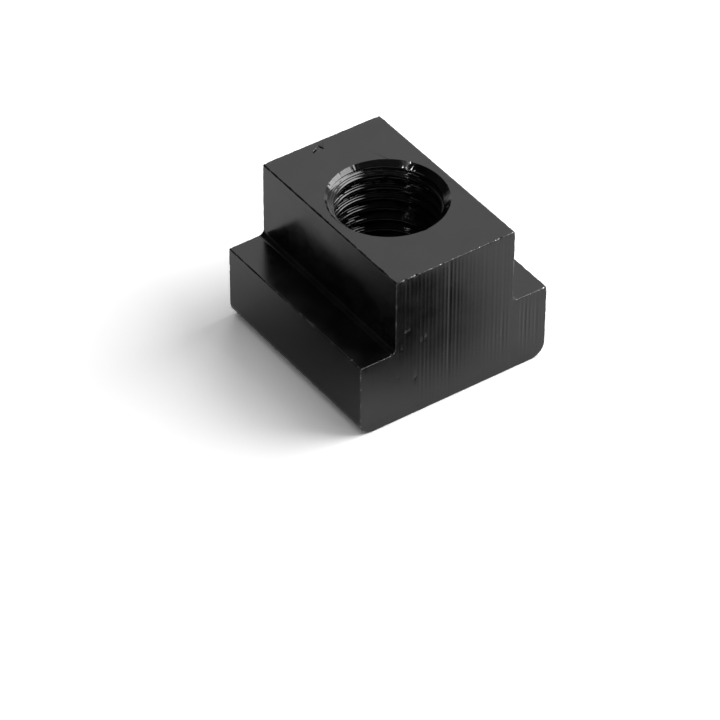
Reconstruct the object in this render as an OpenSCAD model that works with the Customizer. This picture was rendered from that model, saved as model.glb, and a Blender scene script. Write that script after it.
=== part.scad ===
// T-slot nut: a stem that fits between the lips of a machine table's slot, on a
// wider base that bears on the lips from below, with one thread down the middle.
// The slot runs along Y and the thread along Z. The nut stands on its base.

/* [Stem] */
// Width of the stem between the lips of the slot, mm
stem_width = 31.7; // [30:0.1:32]
// Height of the whole nut, mm
nut_height = 38.9; // [36:0.1:42]
// Length along the slot, mm
nut_length = 51.3; // [46:0.1:60]

/* [Base] */
// Width of the base under the lips, mm
base_width = 50.3; // [46:0.1:54]
// Height of the base up to its shoulders, mm
base_height = 19.3; // [14:0.1:22]
// Radius of the two long lower edges of the base, mm
lower_edge_radius = 3.8; // [1:0.1:5]

/* [Edges] */
// Radius in the corner between the stem and each shoulder, mm
shoulder_fillet = 1.4; // [0.4:0.1:2.5]
// Width of the 45 degree break on the outer edges, mm
edge_break = 0.45; // [0.1:0.05:1]

/* [Thread] */
// Nominal diameter of the thread, mm
thread_diameter = 27; // [20:1:27]
// Pitch of the thread, mm
thread_pitch = 3; // [1.5:0.25:3.5]
// Diameter of the 90 degree countersink where it meets a face, mm
countersink_diameter = 27.8; // [27.2:0.1:29]

/* [Hidden] */
$fn = 96;
overcut = 1;
steel = [0.13, 0.13, 0.14];
// an internal thread's crest lies five eighths of the sharp V's height in from its root
thread_minor_diameter = thread_diameter - 2 * 5 / 8 * thread_pitch * cos(30);

// Outline of a block whose four corners are broken at 45 degrees, from X and Y = 0.
module broken_rectangle(width, depth) {
    polygon([
        [edge_break, 0], [width - edge_break, 0],
        [width, edge_break], [width, depth - edge_break],
        [width - edge_break, depth], [edge_break, depth],
        [0, depth - edge_break], [0, edge_break]
    ]);
}

// A block with all twelve edges broken, centred on X and Y and standing on Z = 0.
module broken_block(width, height) {
    translate([-width / 2, -nut_length / 2, 0])
        intersection() {
            linear_extrude(height)
                broken_rectangle(width, nut_length);
            translate([0, nut_length, 0])
                rotate([90, 0, 0])
                    linear_extrude(nut_length)
                        broken_rectangle(width, height);
            rotate([90, 0, 90])
                linear_extrude(width)
                    broken_rectangle(nut_length, height);
        }
}

// Takes the outline on X and Z through the whole length of the nut.
module along_slot() {
    translate([0, nut_length / 2, 0])
        rotate([90, 0, 0])
            linear_extrude(nut_length)
                children();
}

// Section of the base with its two lower corners rounded.
module base_section() {
    translate([-base_width / 2, lower_edge_radius])
        square([base_width, base_height - lower_edge_radius]);
    translate([lower_edge_radius - base_width / 2, 0])
        square([base_width - 2 * lower_edge_radius, lower_edge_radius]);
    for (side = [-1, 1])
        translate([side * (base_width / 2 - lower_edge_radius), lower_edge_radius])
            circle(r = lower_edge_radius);
}

module base() {
    intersection() {
        broken_block(base_width, base_height);
        along_slot()
            base_section();
    }
}

module stem() {
    broken_block(stem_width, nut_height);
}

// The metal left in the corner where the cutter's nose radius ran along a shoulder.
module shoulder_fillets() {
    for (side = [0, 1])
        mirror([side, 0, 0])
            along_slot()
                translate([stem_width / 2, base_height])
                    difference() {
                        translate([-overcut, -overcut])
                            square(shoulder_fillet + overcut);
                        translate([shoulder_fillet, shoulder_fillet])
                            circle(r = shoulder_fillet);
                    }
}

// Hole of the tapped thread's crest diameter, countersunk from the top and the bottom.
module thread_hole() {
    countersink_depth = (countersink_diameter - thread_minor_diameter) / 2;
    translate([0, 0, -overcut])
        cylinder(d = thread_minor_diameter, h = nut_height + 2 * overcut);
    for (face = [0, 1])
        translate([0, 0, face * nut_height])
            mirror([0, 0, face])
                translate([0, 0, -overcut])
                    cylinder(
                        d1 = countersink_diameter + 2 * overcut,
                        d2 = thread_minor_diameter,
                        h = countersink_depth + overcut
                    );
}

module t_slot_nut() {
    color(steel)
        difference() {
            union() {
                base();
                stem();
                shoulder_fillets();
            }
            thread_hole();
        }
}

t_slot_nut();
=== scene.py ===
import math

import bmesh
import bpy
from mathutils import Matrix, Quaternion, Vector, noise
from mathutils.geometry import delaunay_2d_cdt


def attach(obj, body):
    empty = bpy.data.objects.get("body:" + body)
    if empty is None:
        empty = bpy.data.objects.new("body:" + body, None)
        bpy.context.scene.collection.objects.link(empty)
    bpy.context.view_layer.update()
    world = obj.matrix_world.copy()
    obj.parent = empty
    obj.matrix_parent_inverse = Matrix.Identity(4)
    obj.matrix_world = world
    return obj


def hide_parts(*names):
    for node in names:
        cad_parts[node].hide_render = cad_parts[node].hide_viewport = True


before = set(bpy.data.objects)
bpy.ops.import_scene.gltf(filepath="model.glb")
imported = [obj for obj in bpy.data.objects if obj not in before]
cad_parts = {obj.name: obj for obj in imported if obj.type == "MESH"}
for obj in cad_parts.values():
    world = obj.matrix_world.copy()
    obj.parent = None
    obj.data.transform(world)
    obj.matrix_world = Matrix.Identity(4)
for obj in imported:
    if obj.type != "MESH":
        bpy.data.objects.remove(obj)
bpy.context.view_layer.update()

# Nut, milled blank
# One block of steel milled to a T section and faced square at both ends. The facing cutter's
# feed marks still stand upright in the ends. The outer edges are only knocked back with a
# file, so they are uneven, carry nicks and are rubbed rounder towards the corners.

stem_width = 0.0317
base_width = 0.0503
nut_length = 0.0513
nut_height = 0.0389
base_height = 0.0193
lower_edge_radius = 0.0038
shoulder_fillet = 0.0014
long_edge_radius = 0.00036
end_edge_radius = 0.00027

half_stem = stem_width / 2
half_base = base_width / 2
half_length = nut_length / 2

# how finely each corner of the section is turned, counted round it from the lower right
arc_points = [10, 6, 7, 6, 6, 7, 6, 10]
corner_count = len(arc_points)
top_right = 3

# rows of points along the nut, and the short turn from the long faces on to each end
station_step = 0.00036
first_station = 0.0011
end_rows = 5
end_point_step = 0.00026

# the waves, file marks and chips of an edge: how closely they follow each other, per metre, and
# how much each changes its roundness
wave_pace, wave_share = 700, 0.4
filed_pace, filed_share = 2900, 0.35
chip_pace, chip_share = 1400, 2.2
chips_from = 0.36
even_wear = 0.9
least_wear = 0.35

# nicks knocked into the edges: place, reach and how much rounder they leave the edge
nicks = [
    ((-half_stem, -half_length, nut_height), 0.0011, 0.9),
    ((-half_stem, -half_length, 0.0326), 0.0006, 1.3),
    ((-half_stem, -half_length, 0.0272), 0.0005, 1.2),
    ((half_stem, -half_length, nut_height), 0.0012, 1.1),
    ((-0.0136, -half_length, nut_height), 0.0006, 1.3),
    ((-0.0108, -half_length, nut_height), 0.0008, 1.2),
    ((0.0117, -half_length, nut_height), 0.0007, 1.0),
    ((half_base, -half_length, base_height), 0.0015, 1.1),
    ((-half_base, -half_length, base_height), 0.0008, 0.9),
    ((-half_base, half_length, base_height), 0.0010, 1.2),
    ((-half_stem, half_length, nut_height), 0.0016, 1.5),
    ((half_stem, half_length, nut_height), 0.0016, 1.5),
    ((half_stem, 0.0135, nut_height), 0.0007, 1.6),
    ((half_stem, 0.0042, nut_height), 0.0005, 1.4),
    ((-half_base, -0.0068, base_height), 0.0009, 1.1),
    ((-half_stem, 0.0021, nut_height), 0.0006, 1.3),
]


def edge_wear(edge, along, spot):
    """How far an edge is knocked back at a spot, as a factor: waves, filing, chips and the nicks."""
    wave = noise.noise(Vector((along * wave_pace, edge * 7.3, 1.0)))
    filed = noise.noise(Vector((along * filed_pace, edge * 3.1, 21.0)))
    chip = noise.noise(Vector((along * chip_pace, edge * 5.7, 41.0)))
    worn = even_wear + wave_share * wave + filed_share * filed
    worn += chip_share * max(0.0, chip - chips_from)
    for place, reach, rounder in nicks:
        away = (spot - Vector(place)).length / reach
        if away < 1:
            worn += rounder * (1 - away * away) ** 2
    return max(least_wear, worn)


def section_corner(corner, radius):
    """A corner of the T section: centre, radius, first and last angle, and +1 outward or -1 inward."""
    kinds = [
        (half_base - lower_edge_radius, lower_edge_radius, lower_edge_radius, -90, 0, 1),
        (half_base - radius, base_height - radius, radius, 0, 90, 1),
        (half_stem + shoulder_fillet, base_height + shoulder_fillet, shoulder_fillet, -90, -180, -1),
        (half_stem - radius, nut_height - radius, radius, 0, 90, 1),
    ]
    if corner < len(kinds):
        return kinds[corner]
    x, z, turn_radius, first, last, side = kinds[corner_count - 1 - corner]
    return -x, z, turn_radius, 180 - last, 180 - first, side


def corner_arc(corner, y):
    """Points of one corner at a place along the nut, each with the way out and the room inwards."""
    x, z = section_corner(corner, long_edge_radius)[:2]
    worn = long_edge_radius * edge_wear(corner, y, Vector((x, y - half_length, z)))
    x, z, radius, first, last, side = section_corner(corner, worn)
    arc = []
    for i in range(arc_points[corner]):
        angle = math.radians(first + (last - first) * i / (arc_points[corner] - 1))
        out = Vector((math.cos(angle), math.sin(angle)))
        room = radius if side > 0 else half_stem
        arc.append((Vector((x, z)) + out * radius, out * side, room))
    return arc


def end_outline(y):
    """The section's whole outline at a place along the nut, with its straight runs in short steps."""
    corners = [corner_arc(corner, y) for corner in range(corner_count)]
    outline = []
    for corner in range(corner_count):
        outline += [(p, out, room, corner, i) for i, (p, out, room) in enumerate(corners[corner])]
        start, out, _ = corners[corner][-1]
        stop = corners[(corner + 1) % corner_count][0][0]
        steps = max(1, round((stop - start).length / end_point_step))
        outline += [(start.lerp(stop, s / steps), out, half_stem, None, None) for s in range(1, steps)]
    return outline


# knocks and scratches in the faces: centre on the face, length, width, depth, degrees turned
top_dents = [
    (-0.00354, 0.0230, 0.0028, 0.00062, 0.00056, 31),
    (-0.00181, 0.0234, 0.0023, 0.00060, 0.00056, -74),
    (-0.0047, 0.0219, 0.0006, 0.0005, 0.00002, 0),
    (-0.0116, 0.0102, 0.0006, 0.0005, 0.00002, 40),
    (0.0141, -0.0030, 0.0036, 0.0013, 0.00002, -63),
    (-0.0085, -0.0178, 0.0012, 0.0003, 0.000012, 15),
    (0.0062, 0.0186, 0.0018, 0.00026, 0.00001, 70),
]
front_dents = [
    (-0.0131, 0.0243, 0.0009, 0.0008, 0.00022, 0),
    (-0.0122, 0.0244, 0.0007, 0.0006, 0.00014, 0),
    (-0.0089, 0.0201, 0.0013, 0.0007, 0.00020, 84),
    (-0.0078, 0.0201, 0.0014, 0.00050, 0.00018, 12),
    (-0.0089, 0.0245, 0.0013, 0.0006, 0.00002, -20),
    (-0.0142, 0.0198, 0.0014, 0.0005, 0.00006, -25),
    (-0.0105, 0.0100, 0.0018, 0.0005, 0.00008, 36),
    (-0.0151, 0.0122, 0.0006, 0.0005, 0.00008, 0),
    (-0.0088, 0.0062, 0.0030, 0.0008, 0.000015, 50),
    (0.0125, 0.0108, 0.0009, 0.0004, 0.00003, 20),
]
back_dents = [
    (0.0064, 0.0291, 0.0016, 0.0005, 0.00004, 60),
    (-0.0112, 0.0098, 0.0012, 0.0006, 0.00004, -15),
    (0.0171, 0.0121, 0.0020, 0.0004, 0.00003, 35),
]


def dent_depth(u, v, dents):
    """How deep the knocks and scratches are at a place on a face."""
    deepest = 0.0
    for centre_u, centre_v, length, width, depth, turned in dents:
        c, s = math.cos(math.radians(turned)), math.sin(math.radians(turned))
        along = ((u - centre_u) * c + (v - centre_v) * s) / (length / 2)
        across = ((v - centre_v) * c - (u - centre_u) * s) / (width / 2)
        away = along * along + across * across
        if away < 1:
            deepest = max(deepest, depth * (1 - away) ** 2)
    return deepest


dent_point_step = 0.00012
dent_points_across = 8
dent_overlap = 1.06


def dent_points(dents):
    """Close points over each dent, for the mesh of its face."""
    points = []
    for centre_u, centre_v, length, width, _, turned in dents:
        c, s = math.cos(math.radians(turned)), math.sin(math.radians(turned))
        along_steps = max(6, round(length / dent_point_step))
        for i in range(along_steps + 1):
            for j in range(dent_points_across + 1):
                along = dent_overlap * length * (i / along_steps - 0.5)
                across = dent_overlap * width * (j / dent_points_across - 0.5)
                points.append((centre_u + along * c - across * s, centre_v + along * s + across * c))
    return points


# the facing cutter's marks: its feed, how deep it bit, and how far its lines stray and lean
feed_pitch = 0.00104
feed_depth = 0.000100
feed_stray = 0.00012
back_feed_lean = 0.004
line_depth = 0.000016
fine_line_depth = 0.000008
end_dents = [front_dents, back_dents]


def share_between(value, start, stop):
    """How far a value has got from start to stop, from 0 to 1."""
    return min(1.0, max(0.0, (value - start) / (stop - start)))


def end_depth(x, z, end):
    """Depth of an end face's marks: uneven upright feed lines that fade low down, and the dents."""
    stray = feed_stray * noise.noise(Vector((x * 130, z * 20, end)))
    turned = (x + stray + back_feed_lean * end * z) / feed_pitch
    phase = turned % 1.0
    scallop = 4 * phase * (1 - phase)

    # each line has a depth of its own, and patches of the face are marked more than others
    own = max(0.1, 0.65 + 0.9 * noise.noise(Vector((math.floor(turned) * 3.7, z * 9, 5.0 + end))))
    patch = min(1.0, max(0.12, 0.55 + 1.1 * noise.noise(Vector((x * 110, z * 16, 3.0 + end)))))

    # deep on the left and low on the far right, shallow between, and fading towards the bottom
    above_bottom = share_between(z, 0.003, 0.009)
    low = share_between(z, 0.019, 0.012)
    to_right = share_between(x, -0.0015, 0.0025)
    far_right = share_between(x, 0.0070, 0.0110)
    far_left = share_between(x, -0.0090, -0.0130)
    bite = (1 - 0.87 * to_right) * (0.8 + 0.6 * low) * (1 - 0.85 * low * far_left)
    bite += (0.25 + 1.1 * low) * far_right
    marks = feed_depth * bite * scallop * own * patch * (0.12 + 0.88 * above_bottom)

    # finer lines between the feed lines
    line = noise.noise(Vector((x * 1000, z * 10, 7.0 + end)))
    fine = noise.noise(Vector((x * 2500, z * 25, 9.0 + end)))
    lined = (0.25 + 0.75 * above_bottom) * (1 - 0.5 * to_right) * (1 - 0.7 * low * far_left)
    marks += (line_depth * (line + 0.6) + fine_line_depth * (fine + 0.6)) * lined
    return max(0.0, marks) + dent_depth(x, z, end_dents[end])


def under_end(depth, end):
    """The place along the nut of a point at a depth under the front or back end."""
    return depth - half_length if end == 0 else half_length - depth


blank = bmesh.new()
station_run = nut_length - 2 * first_station
stations = round(station_run / station_step)
station_places = [first_station + station_run * j / stations for j in range(stations + 1)]

# the section's corners, carried through the length of the nut
corner_rows = [[[] for _ in range(count)] for count in arc_points]
for y in station_places:
    for corner in range(corner_count):
        for i, (p, _, _) in enumerate(corner_arc(corner, y)):
            corner_rows[corner][i].append(blank.verts.new((p.x, y - half_length, p.y)))

# the rows that turn from the long faces on to an end face, each end's edge worn in its own way, and
# never past its corner's room or the first station
end_edges = (31, 42)
end_rings = []
for end in (0, 1):
    outline = end_outline(first_station if end == 0 else nut_length - first_station)
    walked = 0.0
    last_point = outline[0][0]
    rows = [[] for _ in range(end_rows + 1)]
    for p, out, room, corner, i in outline:
        walked += (p - last_point).length
        last_point = p
        spot = Vector((p.x, half_length * (2 * end - 1), p.y))
        worn = end_edge_radius * edge_wear(end_edges[end], walked, spot)
        worn = min(worn, 0.92 * room, 0.9 * first_station)
        for row in range(end_rows + 1):
            turn = math.pi / 2 * row / end_rows
            inward = worn * (1 - math.sin(turn))
            q = p - out * inward
            deep = worn * (1 - math.cos(turn)) + end_depth(q.x, q.y, end) * (1 - math.sin(turn))
            rows[row].append(blank.verts.new((q.x, under_end(deep, end), q.y)))
    end_rings.append((outline, rows))

for end, (outline, rows) in enumerate(end_rings):
    count = len(outline)
    station = 0 if end == 0 else -1
    for k in range(count):
        following = (k + 1) % count
        for outer, inner in zip(rows, rows[1:]):
            blank.faces.new([outer[k], outer[following], inner[following], inner[k]])
        corner, i = outline[k][3:]
        if corner is not None and outline[following][3] == corner:
            far, near = corner_rows[corner][i + 1][station], corner_rows[corner][i][station]
            blank.faces.new([rows[-1][k], rows[-1][following], far, near])

for corner in range(corner_count):
    for one, two in zip(corner_rows[corner], corner_rows[corner][1:]):
        for j in range(stations):
            blank.faces.new([one[j], two[j], two[j + 1], one[j + 1]])


def fill_face(ring, flat, raised, inside, squeeze):
    """Meshes a flat face inside its ring of points, through more points that carry its marks."""
    edge = [flat(vert.co) for vert in ring]
    points = [Vector((u, v * squeeze)) for u, v in edge + inside]
    count = len(ring)
    rim = [(k, (k + 1) % count) for k in range(count)]
    inside_rim, same_place = 1, 1e-9
    places, _, faces, origins, _, _ = delaunay_2d_cdt(points, rim, [], inside_rim, same_place)
    verts = []
    for place, origin in zip(places, origins):
        on_rim = origin and origin[0] < count
        verts.append(ring[origin[0]] if on_rim else blank.verts.new(raised(place.x, place.y / squeeze)))
    for face in faces:
        blank.faces.new([verts[k] for k in face])


# the long faces, each bounded by two of the section's corners and by both ends
for corner in range(corner_count):
    following = (corner + 1) % corner_count
    ends = []
    for outline, rows in end_rings:
        last = (corner, arc_points[corner] - 1)
        k = next(k for k, point in enumerate(outline) if point[3:] == last)
        run = [rows[-1][k]]
        while outline[k][3:] != (following, 0):
            k = (k + 1) % len(outline)
            run.append(rows[-1][k])
        ends.append(run)
    ring = corner_rows[corner][-1][::-1] + ends[0] + corner_rows[following][0] + ends[1][::-1]
    if corner == top_right:
        fill_face(
            ring,
            lambda co: (co.x, co.y),
            lambda x, y: (x, y, nut_height - dent_depth(x, y, top_dents)),
            dent_points(top_dents),
            1.0,
        )
    else:
        blank.faces.new(ring)

# the end faces, meshed closely across the feed lines and loosely along them, with their inner
# points kept off the edges, the sides of the base and the sides of the stem
mesh_across = 0.00018
mesh_up = 0.0030
up_squeeze = mesh_across / mesh_up * 3
keep_off_edge = 0.0010
keep_off_side = 0.0008
keep_off_stem = 0.0007
for end, (outline, rows) in enumerate(end_rings):
    inside = []
    for i in range(int(base_width / mesh_across) + 1):
        x = mesh_across * (i + 0.5) - half_base
        beside_stem = half_stem - keep_off_stem < abs(x) < half_stem + shoulder_fillet
        if abs(x) > half_base - keep_off_side or beside_stem:
            continue
        top = nut_height if abs(x) < half_stem else base_height
        past_round = max(0.0, abs(x) - (half_base - lower_edge_radius))
        z = lower_edge_radius - math.sqrt(lower_edge_radius**2 - past_round**2) + keep_off_edge
        while z < top - keep_off_edge:
            inside.append((x, z))
            z += mesh_up
    inside += dent_points(end_dents[end])
    fill_face(
        rows[0],
        lambda co: (co.x, co.z),
        lambda x, z: (x, under_end(end_depth(x, z, end), end), z),
        inside,
        up_squeeze,
    )

bmesh.ops.recalc_face_normals(blank, faces=blank.faces)
blank_mesh = bpy.data.meshes.new("t_slot_nut_body")
blank.to_mesh(blank_mesh)
blank.free()
nut = bpy.data.objects.new("t_slot_nut_body", blank_mesh)
bpy.context.scene.collection.objects.link(nut)

# Nut, thread
# An M27 thread of 3 mm pitch, tapped right-handed from the top. The tap has torn the steel in
# places, so the flanks carry rings of scratches and the crests are ragged. A 90 degree
# countersink at each face leads the stud in.

thread_radius = 0.0135
thread_pitch = 0.0030
flank_angle = math.radians(30)
crest_radius = thread_radius - 0.625 * thread_pitch * math.cos(flank_angle)
tap_tip_radius = thread_pitch * math.cos(flank_angle) / 8
thread_start = math.radians(77)
steps_per_turn = 168

# rings scratched into the upward flank: share of the flank from root to crest, depth, and how
# far the ring reaches towards the root and towards the crest
scratches = [
    (0.17, 0.000020, 0.035, 0.06),
    (0.38, 0.000060, 0.045, 0.10),
    (0.68, 0.000050, 0.040, 0.10),
]

# how torn the steel is: on a flank, more on the upward one near the root, in the root itself, and at
# the crests below and above the groove, whose edges are knocked back by their lips
torn_flank, torn_near_root, torn_root = 0.3, 1.4, 0.8
torn_below, torn_above = 0.8, 1.0
lower_lip, upper_lip = 0.00004, 0.00010


def thread_profile():
    """One tooth of the tap, lower crest to upper: height, radius, and how torn the steel is."""
    tip = thread_radius - tap_tip_radius
    start_r = tip + tap_tip_radius * math.sin(flank_angle)
    start_z = tap_tip_radius * math.cos(flank_angle)
    flank_r = start_r - crest_radius
    flank_z = flank_r * math.tan(flank_angle)
    crest = start_z + flank_z

    def on_flank(share, depth=0.0):
        """Height and radius of a point on the flank, at a depth under it."""
        return (
            start_z + flank_z * share + depth * math.cos(flank_angle),
            start_r - flank_r * share + depth * math.sin(flank_angle),
        )

    lower = [(crest + lower_lip, crest_radius, torn_below)]
    shares = [(0.985, 0.0), (0.94, 0.0)]
    for share, depth, root_side, crest_side in reversed(scratches):
        shares += [(share + crest_side, 0.0), (share, depth), (share - root_side, 0.0)]
    shares += [(0.06, 0.0), (0.0, 0.0)]
    for share, depth in shares:
        lower.append((*on_flank(share, depth), torn_flank + torn_near_root * (1 - share) ** 2))
    lower = [(-z, r, torn) for z, r, torn in lower]
    tip_turn = math.radians(30)
    tip_z = tap_tip_radius * math.sin(tip_turn)
    tip_r = tip + tap_tip_radius * math.cos(tip_turn)
    root = [(-tip_z, tip_r, torn_root), (0.0, thread_radius, torn_root), (tip_z, tip_r, torn_root)]
    upper = [(*on_flank(share), torn_flank) for share in (0.0, 0.5, 0.96)]
    upper.append((crest + upper_lip, crest_radius, torn_above))
    upper.append((thread_pitch / 2, crest_radius, torn_flank))
    return lower + root + upper


profile = thread_profile()
turns = math.ceil(nut_height / thread_pitch) + 3
lowest = nut_height - (turns - 1.5) * thread_pitch
tear = 0.000055
inside_crest = 0.000015


def torn_by(walked, i, torn):
    """How far the tap has torn the steel outwards at a place along the thread."""
    long_streak = noise.noise(Vector((walked * 300, i * 1.7, 61.0)))
    short_streak = noise.noise(Vector((walked * 1300, i * 2.3, 67.0)))
    return tear * torn * (0.55 * long_streak + 0.45 * short_streak)


# the tap as one solid: its profile carried up the helix, closed between the turns and at both ends
tap = bmesh.new()
helix = []
for step in range(turns * steps_per_turn + 1):
    angle = 2 * math.pi * step / steps_per_turn
    rise = lowest + thread_pitch * step / steps_per_turn
    walked = angle * thread_radius
    wall = []
    for i, (z, r, torn) in enumerate(profile):
        radius = max(crest_radius - inside_crest, r + torn_by(walked, i, torn))
        turned = angle + thread_start
        wall.append(tap.verts.new((radius * math.cos(turned), radius * math.sin(turned), rise + z)))
    helix.append(wall)
for one, two in zip(helix, helix[1:]):
    for i in range(len(profile) - 1):
        tap.faces.new([one[i], two[i], two[i + 1], one[i + 1]])
for step in range(len(helix) - 1 - steps_per_turn):
    below, beside = helix[step], helix[step + 1]
    above, over = helix[step + steps_per_turn], helix[step + 1 + steps_per_turn]
    tap.faces.new([below[-1], beside[-1], over[0], above[0]])
first_turn = helix[: steps_per_turn + 1]
last_turn = helix[-steps_per_turn - 1 :]
bottom_rim = [wall[0] for wall in first_turn] + list(reversed(helix[0][1:]))
top_rim = [wall[-1] for wall in last_turn] + list(reversed(helix[-1][:-1]))
cap_reach = 0.004
highest = lowest + turns * thread_pitch
for rim, cap_height in ((bottom_rim, lowest - cap_reach), (top_rim, highest + cap_reach)):
    middle = tap.verts.new((0, 0, cap_height))
    for a, b in zip(rim, rim[1:] + rim[:1]):
        tap.faces.new([a, b, middle])
bmesh.ops.recalc_face_normals(tap, faces=tap.faces)
tap_mesh = bpy.data.meshes.new("tap")
tap.to_mesh(tap_mesh)
tap.free()

# the countersink: its cone chattered, most where the thread breaks into it, and its rim chipped
countersink_radius = 0.0139
countersink_slope = math.tan(math.radians(45))
chatter = 0.000030
cone_chatter, thread_chatter, slow_chatter = 0.6, 1.5, 0.6
rim_chip = 0.00030
rim_chips_from = 0.25
chipped_beyond = 0.0132
countersink_steps = 480
countersink_rows = [0.0146, 0.0140, 0.01375, 0.0134, 0.0131, 0.0127, 0.0122, 0.0112]


def countersink_marks(x, y, radius, face):
    """How far chatter and chips move the cone's surface at a place, up out of the nut."""
    rough = noise.noise(Vector((x * 2600, y * 2600, 71.0 + face)))
    slow = noise.noise(Vector((x * 350, y * 350, 77.0 + face)))
    chip = noise.noise(Vector((x * 900, y * 900, 83.0 + face)))
    share = thread_chatter if radius < thread_radius else cone_chatter
    chipped = rim_chip * max(0.0, chip - rim_chips_from) if radius > chipped_beyond else 0.0
    return chatter * (share * rough + slow_chatter * slow) - chipped


countersink = bmesh.new()
for face in (1, -1):
    rows = []
    for row, radius in enumerate(countersink_rows):
        marked = 0 < row < len(countersink_rows) - 1
        ring = []
        for k in range(countersink_steps):
            angle = 2 * math.pi * k / countersink_steps
            x, y = radius * math.cos(angle), radius * math.sin(angle)
            up = (radius - countersink_radius) * countersink_slope
            up += countersink_marks(x, y, radius, face) if marked else 0.0
            z = (nut_height if face > 0 else 0.0) + face * up
            ring.append(countersink.verts.new((x, y, z)))
        rows.append(ring)
    for outer, inner in zip(rows, rows[1:]):
        for k in range(countersink_steps):
            following = (k + 1) % countersink_steps
            countersink.faces.new([outer[k], outer[following], inner[following], inner[k]])
    countersink.faces.new(rows[0])
    countersink.faces.new(rows[-1])
bmesh.ops.recalc_face_normals(countersink, faces=countersink.faces)
countersink_mesh = bpy.data.meshes.new("countersink")
countersink.to_mesh(countersink_mesh)
countersink.free()


def cut(piece, tool_mesh):
    """Cuts a tool's shape out of a piece and keeps the result as the piece's own mesh."""
    tool = bpy.data.objects.new("tool", tool_mesh)
    bpy.context.scene.collection.objects.link(tool)
    step = piece.modifiers.new("cut", "BOOLEAN")
    step.operation = "DIFFERENCE"
    step.solver = "EXACT"
    step.object = tool
    done = piece.evaluated_get(bpy.context.evaluated_depsgraph_get())
    piece_mesh = bpy.data.meshes.new_from_object(done)
    piece.modifiers.clear()
    piece.data = piece_mesh
    bpy.data.objects.remove(tool)


cut(nut, tap_mesh)
cut(nut, countersink_mesh)

# flat faces stay flat, and the rounded edges blend into them
sharp_from = math.radians(38)
shaded = bmesh.new()
shaded.from_mesh(nut.data)
for face in shaded.faces:
    face.smooth = True
for edge in shaded.edges:
    sides = edge.link_faces
    edge.smooth = len(sides) == 2 and sides[0].normal.angle(sides[1].normal, 0.0) < sharp_from
shaded.to_mesh(nut.data)
shaded.free()
level = nut.modifiers.new("flat_faces_level", "WEIGHTED_NORMAL")
level.keep_sharp = True
level.mode = "FACE_AREA_WITH_ANGLE"

# how near each point is to an outer edge, where the finish gets rubbed off
rub_reach = 0.00075
flat_from = 0.985
mouth_radius = countersink_radius + 0.0001


def edge_nearness(spot, normal):
    """From 1 on an outer edge to 0 on the flat faces, in the hole and beyond the reach of rubbing."""
    x, y, z = abs(spot.x), abs(spot.y), spot.z
    in_hole = math.hypot(x, y) < mouth_radius
    if in_hole or max(abs(normal.x), abs(normal.y), abs(normal.z)) > flat_from:
        return 0.0
    to_end = half_length - y
    on_stem = z > base_height + rub_reach
    to_side = (half_stem if on_stem else half_base) - x
    to_top = nut_height - z if on_stem or x < half_stem else abs(base_height - z)
    first, middle, _ = sorted((max(0.0, to_side), max(0.0, to_top), max(0.0, to_end)))
    return max(0.0, 1 - math.hypot(first, middle) / rub_reach)


rubbed = nut.data.attributes.new("rubbed_edge", "FLOAT", "POINT")
nearness = [edge_nearness(vert.co, vert.normal) for vert in nut.data.vertices]
rubbed.data.foreach_set("value", [math.sqrt(near) for near in nearness])

# Nut, black oxide
# Hot blackened and oiled steel: a near-black skin that takes its look from what it mirrors. The
# oil lies unevenly, the milling leaves faint lines along the slot, the facing leaves upright
# ones on the ends, and handling has rubbed specks of the edges back to bare steel.

oily_skin = (0.0030, 0.0030, 0.0031, 1)
dry_skin = (0.0065, 0.0065, 0.0066, 1)
bare_steel = (0.50, 0.49, 0.47, 1)
skin_ior = 1.62
hole_roughness = 0.44
torn_height = 1.6
bump_strength = 0.22
bump_depth = 0.00001

black_oxide = bpy.data.materials.new("black_oxide_steel")
black_oxide.use_nodes = True
nodes, links = black_oxide.node_tree.nodes, black_oxide.node_tree.links
nodes.clear()


def add(kind, **settings):
    """A node of the material at hand, with its settings given by name."""
    node = nodes.new("ShaderNode" + kind)
    for name, value in settings.items():
        setattr(node, name, value)
    return node


def grain(place, stretch, scale, detail):
    """Noise over the nut, drawn out along the axes whose stretch is small."""
    spread = add("VectorMath", operation="MULTIPLY")
    spread.inputs[1].default_value = stretch
    links.new(place, spread.inputs[0])
    speckle = add("TexNoise")
    speckle.inputs["Scale"].default_value = scale
    speckle.inputs["Detail"].default_value = detail
    links.new(spread.outputs[0], speckle.inputs["Vector"])
    return speckle.outputs["Fac"]


def ramp(value, low, high, to_low, to_high):
    """Maps a value smoothly from one range to another."""
    reach = add("MapRange", interpolation_type="SMOOTHSTEP")
    reach.inputs["From Min"].default_value = low
    reach.inputs["From Max"].default_value = high
    reach.inputs["To Min"].default_value = to_low
    reach.inputs["To Max"].default_value = to_high
    links.new(value, reach.inputs["Value"])
    return reach.outputs["Result"]


def combine(operation, one, two):
    """Two values joined by arithmetic; a plain number may stand for the second."""
    step = add("Math", operation=operation)
    links.new(one, step.inputs[0])
    if isinstance(two, float):
        step.inputs[1].default_value = two
    else:
        links.new(two, step.inputs[1])
    return step.outputs[0]


where = add("TexCoord")
spot = where.outputs["Object"]
facing = add("SeparateXYZ")
links.new(where.outputs["Normal"], facing.inputs[0])
to_end = combine("ABSOLUTE", facing.outputs["Y"], 0.0)
is_end = ramp(to_end, 0.75, 0.95, 0.0, 1.0)

# the thread is smoother than the outside, because only the tap has touched it
level_spot = add("VectorMath", operation="MULTIPLY")
level_spot.inputs[1].default_value = (1.0, 1.0, 0.0)
links.new(spot, level_spot.inputs[0])
from_axis = add("VectorMath", operation="LENGTH")
links.new(level_spot.outputs[0], from_axis.inputs[0])
hole_to, outside_from = thread_radius + 0.00045, thread_radius + 0.00060
outside = ramp(from_axis.outputs["Value"], hole_to, outside_from, 0.0, 1.0)

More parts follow.
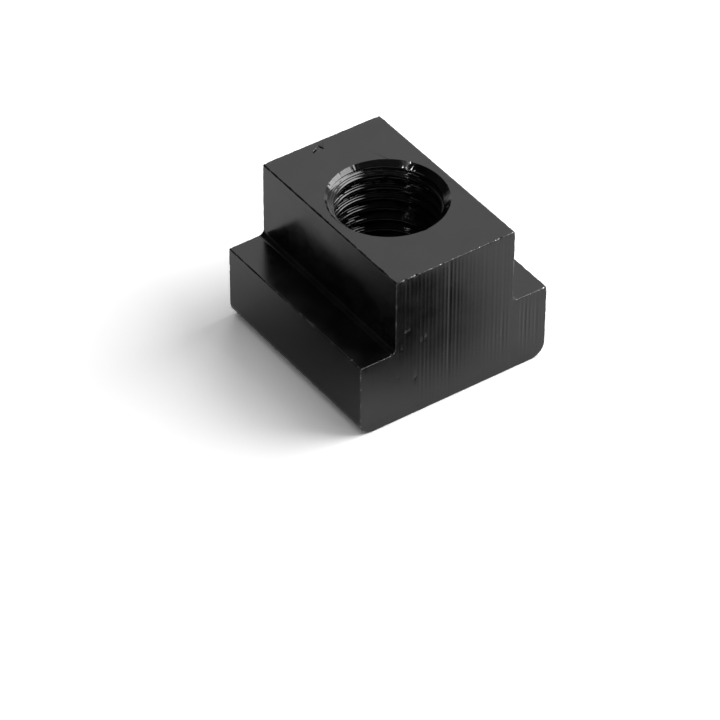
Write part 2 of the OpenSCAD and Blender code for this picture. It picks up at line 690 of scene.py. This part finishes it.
# where the oil has dried, a fine mottle, and the cutters' lines along the slot and up the ends
dried = grain(spot, (1.0, 1.0, 1.0), 160.0, 3.0)
mottle = grain(spot, (1.0, 1.0, 1.0), 1400.0, 4.0)
milled = grain(spot, (1.0, 0.03, 1.0), 2600.0, 3.0)
faced = grain(spot, (1.0, 1.0, 0.02), 3000.0, 3.0)
lines = add("Mix", data_type="FLOAT")
links.new(is_end, lines.inputs["Factor"])
links.new(milled, lines.inputs[2])
links.new(faced, lines.inputs[3])
line_height = lines.outputs[0]

skin = add("Mix", data_type="RGBA")
skin.inputs[6].default_value = oily_skin
skin.inputs[7].default_value = dry_skin
links.new(ramp(dried, 0.35, 0.65, 0.0, 1.0), skin.inputs["Factor"])

roughness = combine("ADD", ramp(dried, 0.3, 0.7, 0.19, 0.25), ramp(mottle, 0.3, 0.7, -0.01, 0.02))
roughness = combine("MULTIPLY", roughness, ramp(outside, 0.0, 1.0, hole_roughness, 1.0))

# specks of bare steel where the edges have been knocked
rubbed_edge = add("Attribute", attribute_name="rubbed_edge")
speck = grain(spot, (1.0, 1.0, 1.0), 2500.0, 2.0)
patch = grain(spot, (1.0, 1.0, 1.0), 330.0, 1.0)
speck = combine("ADD", speck, combine("MULTIPLY", patch, 0.55))
bare = combine("MULTIPLY", ramp(speck, 0.92, 0.97, 0.0, 1.0), rubbed_edge.outputs["Fac"])
colour = add("Mix", data_type="RGBA")
colour.inputs[7].default_value = bare_steel
links.new(bare, colour.inputs["Factor"])
links.new(skin.outputs[2], colour.inputs[6])

# the lines and the mottle all over, and the roughness that the tap left in the hole
height = combine("ADD", combine("MULTIPLY", line_height, 0.5), combine("MULTIPLY", mottle, 0.25))
torn_steel = grain(spot, (1.0, 1.0, 1.0), 2600.0, 2.0)
torn_steel = combine("MULTIPLY", torn_steel, ramp(outside, 0.0, 1.0, torn_height, 0.0))
height = combine("ADD", height, torn_steel)
bump = add("Bump")
bump.inputs["Strength"].default_value = bump_strength
bump.inputs["Distance"].default_value = bump_depth
links.new(height, bump.inputs["Height"])

shader = add("BsdfPrincipled")
shader.inputs["IOR"].default_value = skin_ior
links.new(colour.outputs[2], shader.inputs["Base Color"])
links.new(bare, shader.inputs["Metallic"])
links.new(roughness, shader.inputs["Roughness"])
links.new(bump.outputs["Normal"], shader.inputs["Normal"])
output = add("OutputMaterial")
links.new(shader.outputs["BSDF"], output.inputs["Surface"])
nut.data.materials.clear()
nut.data.materials.append(black_oxide)

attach(nut, "root")
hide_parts("t_slot_nut")

# Floor
# A sheet of matt white paper. The camera sees it lifted to pure white away from the nut, and the
# nut's shadow stays on it. Only the steel mirrors its soft dark places: painted shade, darkening the
# paper for mirror rays alone so that it shows as dark reflections in the steel.

floor_reach = 3.0
paper_white = 0.86
mirrored_white = 0.72
overexposed_white = 1.30

# the painted shade seen only in mirror rays: the middle of each place, how far from it the place is
# darkest and where it ends, and how dark it is
painted_reflection_shade = [
    ((0.0005, -0.063), 0.014, 0.038, 0.02),
    ((0.250, -0.500), 0.280, 0.340, 0.05),
    ((-0.057, 0.004), 0.013, 0.040, 0.08),
    ((-0.046, -0.047), 0.008, 0.022, 0.25),
    ((-0.132, 0.100), 0.060, 0.085, 0.08),
    ((-0.450, 0.350), 0.300, 0.340, 0.05),
]

floor_mesh = bpy.data.meshes.new("floor")
corners = [(-floor_reach, -floor_reach, 0), (floor_reach, -floor_reach, 0)]
corners += [(floor_reach, floor_reach, 0), (-floor_reach, floor_reach, 0)]
floor_mesh.from_pydata(corners, [], [(0, 1, 2, 3)])
floor = bpy.data.objects.new("floor", floor_mesh)
bpy.context.scene.collection.objects.link(floor)
paper = bpy.data.materials.new("white_paper")
paper.use_nodes = True
nodes, links = paper.node_tree.nodes, paper.node_tree.links
nodes.clear()
matt = add("BsdfDiffuse")
rays = add("LightPath")
sheet = add("TexCoord")
mirrored = None
# each place darkens the paper for mirror rays only: painted shade that the steel reflects
for place, dark_to, pale_from, darkest in painted_reflection_shade:
    away = add("VectorMath", operation="DISTANCE")
    away.inputs[1].default_value = (*place, 0.0)
    links.new(sheet.outputs["Object"], away.inputs[0])
    painted_shade = ramp(away.outputs["Value"], dark_to, pale_from, darkest, 1.0)
    mirrored = combine("MULTIPLY", painted_shade, mirrored) if mirrored else painted_shade
white = add("MapRange")
white.inputs["To Min"].default_value = paper_white
links.new(rays.outputs["Is Glossy Ray"], white.inputs["Value"])
links.new(combine("MULTIPLY", mirrored, mirrored_white), white.inputs["To Max"])
seen = add("MapRange")
seen.inputs["To Max"].default_value = overexposed_white
links.new(rays.outputs["Is Camera Ray"], seen.inputs["Value"])
links.new(white.outputs[0], seen.inputs["To Min"])
output = add("OutputMaterial")
links.new(seen.outputs[0], matt.inputs["Color"])
links.new(matt.outputs[0], output.inputs["Surface"])
floor_mesh.materials.append(paper)

# Room
# White walls that the steel mirrors, with soft dark places overhead, behind on the left, in front
# on the right and at the right. They give the nut and the floor only a little light of their own.

wall_light = 0.03
mirrored_walls = 1.12

# the dark places: the way to each, the cosines of the angles from it at which the place begins and
# is darkest, and how dark it is
dark_walls = [
    ((-0.196, -0.280, 0.940), 0.55, 0.743, 0.03),
    ((-0.550, 0.620, 0.560), 0.67, 0.86, 0.02),
    ((0.512, -0.760, 0.400), 0.84, 0.94, 0.12),
    ((0.930, 0.120, 0.350), 0.940, 0.985, 0.35),
]

room = bpy.data.worlds.new("room")
bpy.context.scene.world = room
room.use_nodes = True
nodes, links = room.node_tree.nodes, room.node_tree.links
nodes.clear()
rays = add("LightPath")
direction = add("TexCoord")
mirrored = None
for towards, pale_to, dark_from, darkest in dark_walls:
    facing_wall = add("VectorMath", operation="DOT_PRODUCT")
    facing_wall.inputs[1].default_value = towards
    links.new(direction.outputs["Generated"], facing_wall.inputs[0])
    wall = ramp(facing_wall.outputs["Value"], pale_to, dark_from, 1.0, darkest)
    mirrored = combine("MULTIPLY", wall, mirrored) if mirrored else wall
for_mirrors = add("MapRange")
for_mirrors.inputs["To Min"].default_value = wall_light
links.new(rays.outputs["Is Glossy Ray"], for_mirrors.inputs["Value"])
links.new(combine("MULTIPLY", mirrored, mirrored_walls), for_mirrors.inputs["To Max"])
for_camera = add("MapRange")
for_camera.inputs["To Max"].default_value = 1.0
links.new(rays.outputs["Is Camera Ray"], for_camera.inputs["Value"])
links.new(for_mirrors.outputs[0], for_camera.inputs["To Min"])
walls = add("Background")
output = add("OutputWorld")
links.new(for_camera.outputs[0], walls.inputs["Strength"])
links.new(walls.outputs[0], output.inputs["Surface"])

# Lamps
# A wide soft lamp high on the right lights the thread's flanks and throws the shadow to the left,
# and a small one high on the left puts a glint on the far rim. Three more, on the right, in front
# and overhead, fill the shadows and keep out of the steel's reflections.

aimed_at = Vector((0, 0, 0.03))


def softbox(name, place, width, height, brightness, mirrored=True):
    """A soft rectangular lamp turned towards the nut, which the steel may or may not mirror."""
    lamp = bpy.data.lights.new(name, "AREA")
    lamp.shape = "RECTANGLE"
    lamp.size, lamp.size_y = width, height
    lamp.energy = brightness * math.pi * width * height
    lamp_object = bpy.data.objects.new(name, lamp)
    lamp_object.location = place
    lamp_object.rotation_mode = "QUATERNION"
    lamp_object.rotation_quaternion = (Vector(place) - aimed_at).to_track_quat("Z", "Y")
    lamp_object.visible_camera = False
    lamp_object.visible_glossy = mirrored
    bpy.context.scene.collection.objects.link(lamp_object)


softbox("key", (0.569, -0.224, 0.508), 0.63, 0.72, 5.4)
softbox("side", (0.50, 0.60, 0.25), 0.45, 0.28, 4.0, mirrored=False)
softbox("front", (0.34, -0.66, 0.30), 0.50, 0.22, 2.2, mirrored=False)
softbox("glint", (-0.53, -0.142, 0.61), 0.12, 0.035, 40.0)
softbox("overhead", (0.0, 0.0, 1.23), 1.20, 1.20, 1.05, mirrored=False)

# Camera
# Set by the straight edges of the nut itself: a little under a metre away on the left in front,
# looking down through a long lens.

side, height, roll = math.radians(-35.1931), math.radians(40.052), math.radians(0.3098)
aim = Vector((-0.023184, -0.022626, 0.019136))
distance = 0.95377
camera_data = bpy.data.cameras.new("camera")
camera_data.sensor_width = 36.0
camera_data.lens = 220.267
camera_data.clip_start = 0.01
camera_data.clip_end = 20.0
camera = bpy.data.objects.new("camera", camera_data)
away = Vector((math.sin(side) * math.cos(height), -math.cos(side) * math.cos(height), math.sin(height)))
camera.location = aim + away * distance
camera.rotation_mode = "QUATERNION"
camera.rotation_quaternion = away.to_track_quat("Z", "Y")
camera.rotation_quaternion.rotate(Quaternion(away, roll))
bpy.context.scene.collection.objects.link(camera)
bpy.context.scene.camera = camera
bpy.context.scene.view_settings.view_transform = "Standard"
